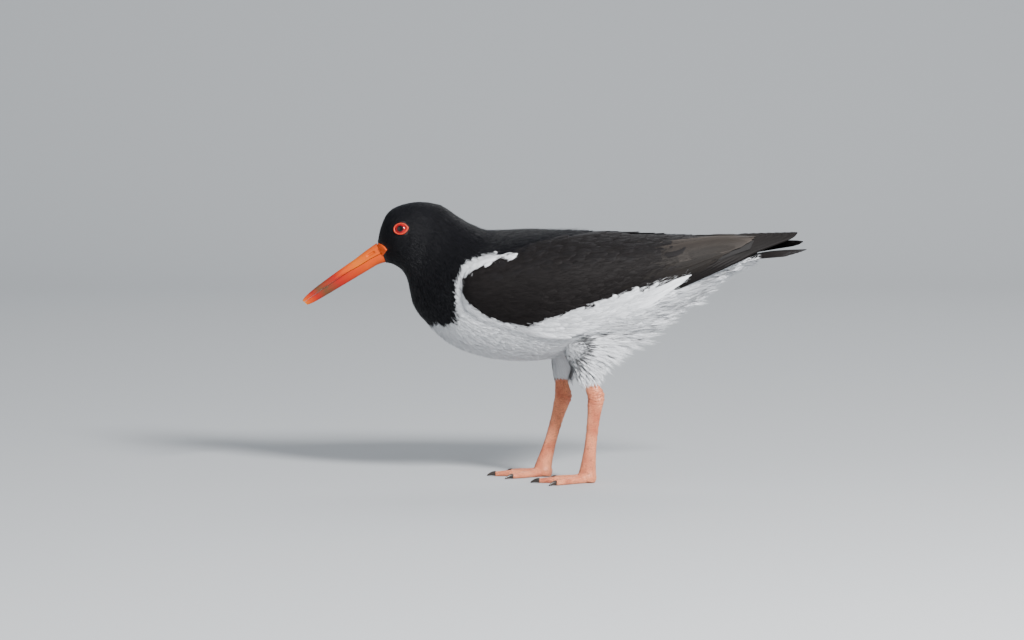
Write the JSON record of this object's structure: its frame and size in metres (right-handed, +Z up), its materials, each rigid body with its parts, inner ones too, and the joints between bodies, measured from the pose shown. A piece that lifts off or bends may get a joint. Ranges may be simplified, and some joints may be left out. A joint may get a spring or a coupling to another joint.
{
  "type": "eurasian oystercatcher, standing adult, still museum model",
  "caption": "Life-size standing wading bird with black and white plumage, folded wings, long straight orange-red bill held down and forwards, and pink legs with flat soles.",
  "frame": {"origin": "bottom centre of the bounding box, on the floor between the feet and half way from bill tip to tail tip", "axes": "+Z up, head and bill towards -X, tail towards +X, the bird's left side towards -Y"},
  "size_m": [0.388, 0.1066, 0.2145],
  "materials": {
    "black_plumage": "soft feather with a faint sheen",
    "white_plumage": "soft matte feather",
    "bill_horn": "smooth horn, satin",
    "leg_skin": "scaled skin, satin",
    "claw_horn": "smooth dark horn",
    "eyeball": "wet, glossy",
    "eyelid_skin": "bare fleshy skin"
  },
  "bodies": {
    "root": {"bill_lower": "bill_horn", "bill_upper": "bill_horn", "claw_left_inner": "claw_horn", "claw_left_middle": "claw_horn", "claw_left_outer": "claw_horn", "claw_right_inner": "claw_horn", "claw_right_middle": "claw_horn", "claw_right_outer": "claw_horn", "eye_left": "eyeball", "eye_right": "eyeball", "eye_ring_left": "eyelid_skin", "eye_ring_right": "eyelid_skin", "foot_left": "leg_skin", "foot_right": "leg_skin", "head": "black_plumage", "neck": "black_plumage", "primaries_left": "black_plumage", "primaries_right": "black_plumage", "shank_left": "leg_skin", "shank_right": "leg_skin", "tail": "black_plumage", "thigh_left": "white_plumage", "thigh_right": "white_plumage", "torso": "white_plumage", "wing_left": "black_plumage", "wing_right": "black_plumage"}
  },
  "joints": []
}
